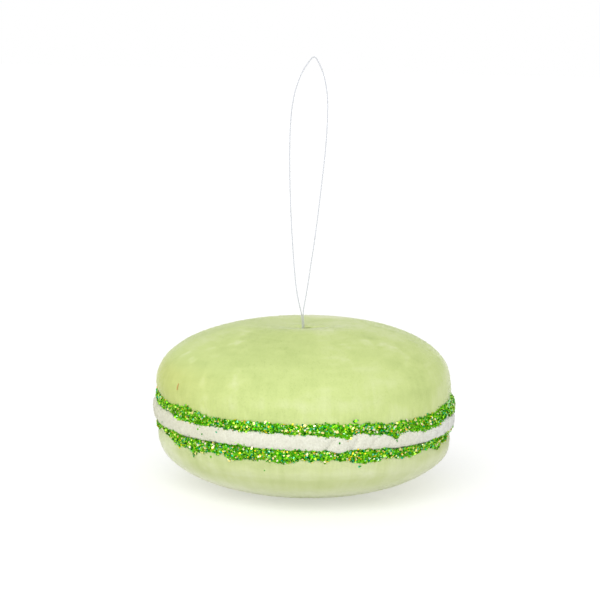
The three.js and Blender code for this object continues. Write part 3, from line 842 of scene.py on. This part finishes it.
def filling():
    m, k = CORD_AROUND, CORD_ACROSS
    phi = np.arange(m) / m * 2 * np.pi
    sec = np.linspace(-1, 1, k)
    sec = np.sign(sec) * np.abs(sec) ** 1.25 * 1.45
    P, S = np.meshgrid(phi, sec)
    rad, swell, lift, tall = cord_section(wrap(P), S)
    rr = RIM + rad * np.cos(S) ** (2 / CORD_FULL) + swell * np.cos(S) ** 2
    zz = rad * np.sign(S) * np.abs(np.sin(S)) ** (2 / CORD_FULL) * tall + lift
    pos = np.stack([rr * np.sin(P), -rr * np.cos(P), zz], -1)
    out = np.stack([np.cos(S) * np.sin(P), -np.cos(S) * np.cos(P), np.sin(S)], -1)
    # Soft lumps of the pile, where the glitter doesn't press it flat.
    placed = assembled(pos)
    bare = smooth((edge("upper_low", P) - placed[..., 2]) / 0.7) * smooth((placed[..., 2] - edge("lower_top", P)) / 0.7)
    lumps = 0.15 * noise(pos, 2.8, 11) + 0.10 * noise(pos, 1.2, 12) + 0.05 * noise(pos, 0.55, 13)
    pos += out * (lumps * bare)[..., None]
    points = [np.array([[0.0, 0.0, -2.6]]), np.stack([54.0 * np.sin(phi), -54.0 * np.cos(phi), np.full(m, -2.6)], 1)]
    points += list(pos)
    points += [np.stack([54.0 * np.sin(phi), -54.0 * np.cos(phi), np.full(m, 2.6)], 1), np.array([[0.0, 0.0, 2.6]])]
    index, n = [], 0
    for p in points:
        index.append(np.arange(n, n + len(p)))
        n += len(p)
    quads = [np.stack([a, np.roll(a, -1), np.roll(b, -1), b], 1) for a, b in zip(index[1:-2], index[2:-1])]
    tris = [np.stack([np.full(m, 0), np.roll(index[1], -1), index[1]], 1), np.stack([index[-2], np.roll(index[-2], -1), np.full(m, index[-1][0])], 1)]
    rows = 8
    uv = [strip_map(m, rows, k + 1, rows + 1)]
    # The hidden discs share the last row of the map.
    left, right = np.arange(m) / m, (np.arange(m) + 1) / m
    low_, mid_, high_ = (rows + 0.1) / (rows + 1), (rows + 0.5) / (rows + 1), (rows + 0.9) / (rows + 1)
    half_ = (left + right) / 2
    uv.append(np.stack([half_, np.full(m, low_), right, np.full(m, mid_ - 0.01), left, np.full(m, mid_ - 0.01)], 1).reshape(-1, 2))
    uv.append(np.stack([left, np.full(m, mid_ + 0.01), right, np.full(m, mid_ + 0.01), half_, np.full(m, high_)], 1).reshape(-1, 2))
    return assembled(np.concatenate(points)), [np.concatenate(quads), np.concatenate(tris)], np.concatenate(uv)


PLUSH = [(0.0, (0.610, 0.605, 0.500)), (0.5, (0.690, 0.690, 0.585)), (1.0, (0.770, 0.775, 0.675))]
COOL = (1.05, 1.06, 1.17)       # towards its right end the cord is a cooler white
CREAM = (0.965, 0.957, 0.90)    # and towards its left end a warmer one
PLUSH_SHEEN = dict(Roughness=0.95, Sheen_Weight=0.35, Sheen_Roughness=0.4)

plush = Nodes("plush").set(**PLUSH_SHEEN)
plush.shader.inputs["Specular IOR Level"].default_value = 0.1
vector_, height_, radius_, drum_x_, drum_y_ = plush.place()
fluff = plush.noise(vector_, 1.5, 3.0, 0.65)
strands = plush.noise(plush.combine(drum_x_, drum_y_, plush.math("MULTIPLY", height_, 0.3)), 1.6, 2.0, 0.6)
tone = plush.math("ADD", plush.math("MULTIPLY", fluff, 0.6), plush.math("MULTIPLY", strands, 0.4))
white = plush.mix(plush.range(tone, 0.33, 0.66), (0.640, 0.635, 0.530), (0.735, 0.740, 0.635))
white = plush.mix(plush.range(drum_x_, 35.0, 56.0), white, plush.mix(1.0, white, COOL, "MULTIPLY"))
white = plush.mix(plush.range(drum_x_, -14.0, -44.0), white, plush.mix(1.0, white, CREAM, "MULTIPLY"))
plush.feed(plush.shader, "Base Color", white)
plush.feed(plush.shader, "Normal", plush.bump(plush.math("ADD", fluff, strands), 0.0003, 0.6))

pts, fcs, uv = filling()
build("plush_filling", to_row(pts), fcs, plush.material, ["filling"], True, None, uv)

fuzz = Nodes("plush_fuzz").set(**PLUSH_SHEEN)
fuzz.shader.inputs["Specular IOR Level"].default_value = 0.1
fuzz_stops = [((5 * i + 4 * at) / 15, tuple(a * b for a, b in zip(c, tint))) for i, tint in enumerate(((1.0, 1.0, 1.0), COOL, CREAM)) for at, c in PLUSH]
fuzz.feed(fuzz.shader, "Base Color", fuzz.ramp("tone", fuzz_stops))

rng = np.random.default_rng(81)
rim_quads = fcs[0][CORD_AROUND * 2:-CORD_AROUND * 2]


def between_bands(p):
    phi = azimuth(p)
    return smooth((edge("upper_low", phi) - p[:, 2] + 0.1) / 0.5) * smooth((p[:, 2] - edge("lower_top", phi) + 0.1) / 0.5)


roots, normal, _ = scatter(rng, pts, rim_quads, 44000, between_bands, [])
lie = unit(np.cross(normal, rng.normal(size=normal.shape)) + [0.0, 0.0, 0.25])
rise = rng.uniform(0.3, 1.25, (len(roots), 1))
way = unit(lie * np.cos(rise) + normal * np.sin(rise))
hair, hair_faces, shown = spikes(roots - normal * 0.15, normal, way, rng.uniform(0.4, 0.85, len(roots)), rng.uniform(0.045, 0.075, len(roots)))
level = rng.integers(0, 5, len(roots))
level += 5 * (rng.random(len(roots)) < smooth((roots[:, 0] - 35.0) / 21.0)) + 10 * (rng.random(len(roots)) < smooth((-roots[:, 0] - 14.0) / 30.0))
build("plush_fuzz", to_row(hair), [hair_faces], fuzz.material, (), True, {"tone": np.repeat(level / 15, 4)}, cell_map(level, 4, TRIANGLE * 4), shown)

# ---- glitter --------------------------------------------------------------------------------


def band_point(side, phi, s, proud):
    """A point of a band as turned, at azimuth phi, s from 0 at its lower edge to 1 at its
    upper edge, and its outward direction; proud is the height off the band's bed."""
    lo, hi = edge(side + "_low", phi), edge(side + "_top", phi)
    inset = np.minimum(0.11, 0.1 * (hi - lo))
    z = lo + inset + (hi - lo - 2 * inset) * s
    # The edges are as assembled, so the lean comes off again here.
    z = z - 59.0 * np.sin(phi) * lean(z)
    c = 2 * s - 1
    swell = np.sqrt(np.maximum(0, 1 - np.abs(c) ** 2.4))
    if side == "upper":
        r = 58.9 + 0.45 * swell + 1.1 * bell(phi, 82, 9) * (1 - 0.6 * s)
    else:
        r = 58.65 + 0.4 * swell - 0.15 * bell(phi, -88, 18) - 0.1 * bell(phi, 88, 18)
    # The glitter lies in clumps.
    at = np.stack([59 * np.sin(phi), -59 * np.cos(phi), z], -1)
    r = r + swell * (0.16 * noise(at, 2.3, 23) + 0.14 * noise(at, 1.2, 24))
    # Next to the plush the glitter lies on the cord's shoulder.
    r = np.maximum(r, plush_reach(phi, z) + 0.1)
    slope = np.sign(c) * np.abs(c) ** 1.6 * 0.9
    out = unit(np.stack([np.sin(phi), -np.cos(phi), slope], -1))
    base = np.stack([r * np.sin(phi), -r * np.cos(phi), z], -1)
    return base + out * np.asarray(proud)[..., None], out


BED_AROUND, BED_ACROSS = 1200, 16


def bed(side):
    m, k = BED_AROUND, BED_ACROSS
    phi = np.arange(m) / m * 2 * np.pi
    s = np.linspace(0, 1, k)
    P, S = np.meshgrid(phi, s)
    q, out = band_point(side, P, S, np.zeros_like(P))
    q += out * (0.22 * noise(q, 1.1, 21) + 0.12 * noise(q, 0.55, 22))[..., None]
    inner = []
    for t in (0.8, 0.2):
        lo_, hi_ = edge(side + "_low", phi), edge(side + "_top", phi)
        z = lo_ + (hi_ - lo_) * t
        z = z - 59.0 * np.sin(phi) * lean(z)
        inner.append(np.stack([57.3 * np.sin(phi), -57.3 * np.cos(phi), z], -1))
    rings = list(q) + inner
    n = len(rings)
    index = np.arange(n * m).reshape(n, m)
    quads = [np.stack([index[i], np.roll(index[i], -1), np.roll(index[(i + 1) % n], -1), index[(i + 1) % n]], 1) for i in range(n)]
    return assembled(np.concatenate(rings)), [np.concatenate(quads)], strip_map(m, 12, n, 12)


glue = Nodes("glitter_bed").set(Base_Color=(0.03, 0.20, 0.02, 1), Roughness=0.6)
gvec = glue.place()[0]
cells = glue.new("TexVoronoi")
glue.feed(cells, "Vector", gvec)
glue.feed(cells, "Scale", 1.4)
glue.feed(glue.shader, "Base Color", glue.mix(glue.range(cells.outputs["Color"], 0.2, 0.8), (0.04, 0.35, 0.002), (0.22, 0.60, 0.008)))
glue.feed(glue.shader, "Normal", glue.bump(cells.outputs["Distance"], 0.0004, 0.8))
glue.shader.inputs["Specular IOR Level"].default_value = 0.08

for side, node in (("upper", "glitter_band_top"), ("lower", "glitter_band_bottom")):
    pts, fcs, uv = bed(side)
    build("glitter_bed_" + side, to_row(pts), fcs, glue.material, [node], True, None, uv)

# Flakes: hexagonal film, most of it green, with gold, orange, teal, mint and white. The spread from dark to pale green
# is partly the flakes' own colours and partly painted reflection of how each tilted flake catches the light; the pale
# yellow and white tones are partly pale flakes and partly painted glints.
film = Nodes("glitter_film").set(Roughness=0.30, Metallic=0.92, Specular_Tint=(0.40, 0.75, 0.30, 1))
film.shader.inputs["Specular IOR Level"].default_value = 0.1
TONES = [
    (0.000, (0.006, 0.220, 0.001)), (0.070, (0.024, 0.350, 0.002)), (0.160, (0.090, 0.470, 0.006)),
    (0.290, (0.190, 0.610, 0.014)), (0.430, (0.285, 0.710, 0.024)), (0.565, (0.375, 0.760, 0.045)),
    (0.665, (0.460, 0.790, 0.095)), (0.705, (0.003, 0.260, 0.110)), (0.755, (0.014, 0.460, 0.230)),
    (0.805, (0.150, 0.650, 0.330)), (0.845, (0.430, 0.820, 0.440)), (0.875, (0.900, 0.700, 0.035)),
    (0.930, (0.900, 0.450, 0.025)), (0.951, (0.930, 0.830, 0.310)), (0.979, (0.960, 0.920, 0.660)),
]
film.feed(film.shader, "Base Color", film.ramp("tone", TONES, "CONSTANT"))

HEXAGON = [(0.5 + 0.5 * math.cos(math.radians(60 * i)), 0.5 + 0.5 * math.sin(math.radians(60 * i))) for i in range(6)]


def flakes(rng, centres, out, size, tilt, squash):
    """Closed hexagonal flakes: a flat face outwards and a shallow cone behind."""
    n = len(centres)
    normal = unit(out + tilt[:, None] * rng.normal(size=(n, 3)))
    helper = unit(rng.normal(size=(n, 3)))
    u = unit(np.cross(normal, helper))
    v = np.cross(normal, u)
    angles = np.arange(6) / 6 * 2 * np.pi
    radius = (size / 2)[:, None] * rng.uniform(0.90, 1.08, (n, 6))
    rim = centres[:, None, :] + radius[..., None] * (np.cos(angles)[None, :, None] * u[:, None, :] + np.sin(angles)[None, :, None] * (v * squash[:, None])[:, None, :])
    back = centres - normal * 0.05
    points = np.concatenate([rim, back[:, None, :]], 1).reshape(-1, 3)
    first = np.arange(n)[:, None] * 7
    face = first + np.arange(6)[None, :]
    cone = np.stack([first + (np.arange(6)[None, :] + 1) % 6, first + np.arange(6)[None, :], np.repeat(first + 6, 6, 1)], -1).reshape(-1, 3)
    return points, [face, cone]


def flake_piece(name, rng, centres, out, size, tilt, squash, tone):
    points, faces = flakes(rng, centres, out, size, tilt, squash)
    cell = np.searchsorted([t[0] for t in TONES], tone, side="right") - 1
    middle = np.array([t[0] for t in TONES] + [1.0])
    tone = (middle[cell] + middle[cell + 1]) / 2
    uv = np.concatenate([cell_map(cell, 4, HEXAGON), cell_map(cell, 4, TRIANGLE * 6)])
    build(name, to_row(points), faces, film.material, (), False, {"tone": np.repeat(tone, 7)}, uv)


def band_flakes(side, count, seed):
    rng = np.random.default_rng(seed)
    phi = rng.uniform(-np.pi, np.pi, count)
    # Thicker glitter at the tuft on the right and in clumps along the edges.
    s = rng.uniform(-0.02, 1.02, count)
    stray = rng.random(count) < 0.03
    s = np.where(stray, np.where(rng.random(count) < 0.5, -0.02 - rng.exponential(0.05, count), 1.02 + rng.exponential(0.05, count)), s)
    s = np.clip(s, -0.22, 1.22)
    # The palest flakes lie on top and face outwards.
    tone = rng.uniform(0, 0.999, count)
    # Painted glints: extra pale flakes at the right end, standing in for sparkle there.
    painted_glints = rng.random(count) < 0.22 * smooth((np.sin(phi) - 0.91) / 0.07)
    tone = np.where(painted_glints, np.where(rng.random(count) < 0.6, 0.86, 0.99), tone)
    pale = tone > 0.951
    size = np.clip(rng.normal(0.82, 0.16, count), 0.45, 1.2) * np.where(pale, 1.12, 1.0)
    askew = ~stray & ~pale & (rng.random(count) < 0.45)
    proud = np.where(askew, rng.uniform(0.05, 0.40, count), np.abs(rng.normal(0.08, 0.14, count)) + np.where(pale, 0.22, 0.0)) * np.where(stray, 0.3, 1.0)
    centres, out = band_point(side, phi, np.clip(s, 0, 1), proud)
    width = edge(side + "_top", phi) - edge(side + "_low", phi)
    centres[:, 2] += (s - np.clip(s, 0, 1)) * width
    # What strays past an edge lies on the velvet or the plush there.
    outer = (s > 1) if side == "upper" else (s < 0)
    inner = (s < 0) if side == "upper" else (s > 1)
    if side == "upper":
        on_velvet = 58.95 + 0.12
    else:
        on_velvet = 58.7 + 0.12 + np.maximum(0, -9 - centres[:, 2]) * 0.35
    target = np.where(outer, on_velvet, np.where(inner, plush_reach(phi, centres[:, 2]) + 0.12, 0.0))
    here = np.hypot(centres[:, 0], centres[:, 1])
    push = np.where(target > 0, np.maximum(target - here, 0), 0)
    centres[:, :2] += push[:, None] * np.stack([np.sin(phi), -np.cos(phi)], 1)
    # Painted light: the greens are a little paler towards both ends, where less light reaches the flakes.
    painted_end_light = (0.20 + 0.08 * (phi < 0)) * smooth((np.abs(np.sin(phi)) - 0.50) / 0.4)
    tone = np.where(tone < 0.665, np.minimum(tone + painted_end_light, 0.69), tone)
    tilt = np.where(stray, rng.uniform(0.05, 0.25, count), np.where(askew, rng.uniform(0.8, 1.6, count), rng.uniform(0.12, 0.5, count)))
    return rng, assembled(centres), out, size, tilt, rng.uniform(0.6, 1.0, count), tone


for side, count, seed in (("upper", 10500, 101), ("lower", 10500, 102)):
    flake_piece("glitter_flakes_" + side, *band_flakes(side, count, seed))


def surface_radius(az, z):
    """Radius of the velvet or plush at azimuth az and height z, near the rim."""
    if z > 7.5:
        return 58.75
    if z > -3.0:
        return float(plush_reach(math.radians(az), z))
    q = np.linspace(40.0, LOW_R, 4000)
    zs = low_surface(q)
    return float(np.interp(z, zs, q - LOW_TUCK * smooth((zs + 14) / 6)))


# Single flakes away from the bands: azimuth, height, size, colour, how far they stand
# off the surface, and how much they are turned from it.
LOOSE = [
    (-41.8, 1.15, 0.8, 0.40, 0.15, 0.2), (-39.7, -0.4, 1.0, 0.10, 0.15, 0.2), (-33.1, 1.26, 1.0, 0.78, 0.15, 0.2),
    (-32.4, 2.4, 0.8, 0.40, 0.15, 0.3), (18.2, 7.9, 1.3, 0.15, 0.7, 0.5), (18.9, 8.1, 1.2, 0.40, 0.9, 0.6),
    (19.6, 8.2, 0.9, 0.73, 0.8, 0.6), (75.0, 9.6, 1.1, 0.40, 0.7, 0.5), (75.6, 10.2, 1.1, 0.15, 0.8, 0.6),
    (76.2, 10.8, 1.0, 0.50, 0.8, 0.5), (77.0, 10.0, 1.2, 0.30, 0.9, 0.6), (78.0, 9.5, 1.2, 0.82, 1.0, 0.5),
    (79.5, 9.7, 1.0, 0.50, 1.1, 0.6), (76.8, 11.4, 0.9, 0.30, 0.7, 0.4), (20.75, -9.66, 1.0, 0.82, 0.12, 0.2),
    (-45.4, -9.6, 1.1, 0.78, 0.3, 0.4), (-45.6, -10.3, 1.0, 0.10, 0.3, 0.4), (-28.2, -9.2, 1.1, 0.96, 0.4, 0.3),
    (-36.6, -8.9, 0.9, 0.40, 0.15, 0.2), (12.6, 0.2, 0.9, 0.15, 0.2, 0.3), (35.2, -0.4, 1.1, 0.15, 0.3, 0.3),
    (-14.5, -11.5, 0.5, 0.02, 0.10, 0.2), (-66.0, -0.5, 0.8, 0.73, 0.2, 0.3), (66.5, -2.2, 0.9, 0.12, 0.3, 0.3),
]
rng = np.random.default_rng(103)
for _ in range(26):
    LOOSE.append((rng.uniform(95, 265), rng.choice([rng.uniform(-1.5, 2.0), rng.uniform(8.6, 11.5), rng.uniform(-11.5, -9.0)]), rng.uniform(0.7, 1.1), rng.uniform(0, 0.96), 0.15, 0.25))
table = np.array(LOOSE)
phi = np.radians(table[:, 0])
reach = np.array([surface_radius(az, z) for az, z in table[:, :2]]) + table[:, 4]
height = table[:, 1] - 59.0 * np.sin(phi) * lean(table[:, 1])
centres = assembled(np.stack([reach * np.sin(phi), -reach * np.cos(phi), height], 1))
out = np.stack([np.sin(phi), -np.cos(phi), np.zeros(len(phi))], 1)
flake_piece("glitter_loose", rng, centres, out, table[:, 2], table[:, 5], rng.uniform(0.7, 1.0, len(table)), table[:, 3])

# ---- a thread of lint on the left of the upper shell ---------------------------------------

lint = Nodes("lint").set(Base_Color=(0.62, 0.24, 0.07, 1), Roughness=0.85)
lint.shader.inputs["Specular IOR Level"].default_value = 0.2
lint_vec = lint.place()[0]
lint.feed(lint.shader, "Base Color", lint.mix(lint.noise(lint_vec, 3.0, 2.0, 0.6), (0.50, 0.17, 0.05), (0.74, 0.33, 0.11)))
lint_line = through([(-48.50, -34.05, 16.6), (-48.75, -34.30, 15.9), (-48.98, -34.36, 15.1), (-49.02, -34.30, 14.5), (-49.22, -34.10, 13.9)], 5)
sides = 6
ahead = unit(np.gradient(lint_line, axis=0))
across = unit(np.cross(ahead, [0.6, 0.8, 0.1]))
other = np.cross(ahead, across)
turn = np.arange(sides) / sides * 2 * np.pi
thick = 0.13 * np.sqrt(np.clip(1 - np.linspace(-0.98, 0.98, len(lint_line)) ** 6, 0.05, 1))
tube = lint_line[:, None, :] + thick[:, None, None] * (np.cos(turn)[None, :, None] * across[:, None, :] + np.sin(turn)[None, :, None] * other[:, None, :])
index = np.arange(tube.shape[0] * sides).reshape(-1, sides)
walls = np.concatenate([np.stack([a, np.roll(a, -1), np.roll(b, -1), b], 1) for a, b in zip(index[:-1], index[1:])])
build("lint_fibre", to_row(tube.reshape(-1, 3)), [walls, index[:1, ::-1], index[-1:]], lint.material)

# ---- floor and light ----------------------------------------------------------------------------

floor_look = Nodes("floor").set(Base_Color=(0.64, 0.64, 0.64, 1), Roughness=0.9, Emission_Color=(1, 1, 1, 1), Emission_Strength=0.38)
floor_look.shader.inputs["Specular IOR Level"].default_value = 0.0
floor_mesh = bpy.data.meshes.new("floor")
half = 60.0
floor_mesh.from_pydata([(-half, -half, 0), (half, -half, 0), (half, half, 0), (-half, half, 0)], [], [(0, 1, 2, 3)])
floor_mesh.materials.append(floor_look.material)
floor = bpy.data.objects.new("floor", floor_mesh)
scene.collection.objects.link(floor)

world = bpy.data.worlds.new("studio")
world.use_nodes = True
# The studio's walls look white and light the ornament a little less than that.
sky = world.node_tree
walls = sky.nodes["Background"]
walls.inputs["Color"].default_value = (1, 1, 1, 1)
walls.inputs["Strength"].default_value = 0.80
seen_walls = sky.nodes.new("ShaderNodeBackground")
seen_walls.inputs["Color"].default_value = (1, 1, 1, 1)
seen_walls.inputs["Strength"].default_value = 1.0
path = sky.nodes.new("ShaderNodeLightPath")
either = sky.nodes.new("ShaderNodeMixShader")
sky.links.new(path.outputs["Is Camera Ray"], either.inputs[0])
sky.links.new(walls.outputs[0], either.inputs[1])
sky.links.new(seen_walls.outputs[0], either.inputs[2])
sky.links.new(either.outputs[0], sky.nodes["World Output"].inputs["Surface"])
scene.world = world

front = bpy.data.lights.new("front", "SUN")
front.energy = 1.6
front.angle = math.radians(50)
front_lamp = bpy.data.objects.new("front", front)
scene.collection.objects.link(front_lamp)
front_lamp.rotation_euler = (math.radians(55), 0, math.radians(-12))
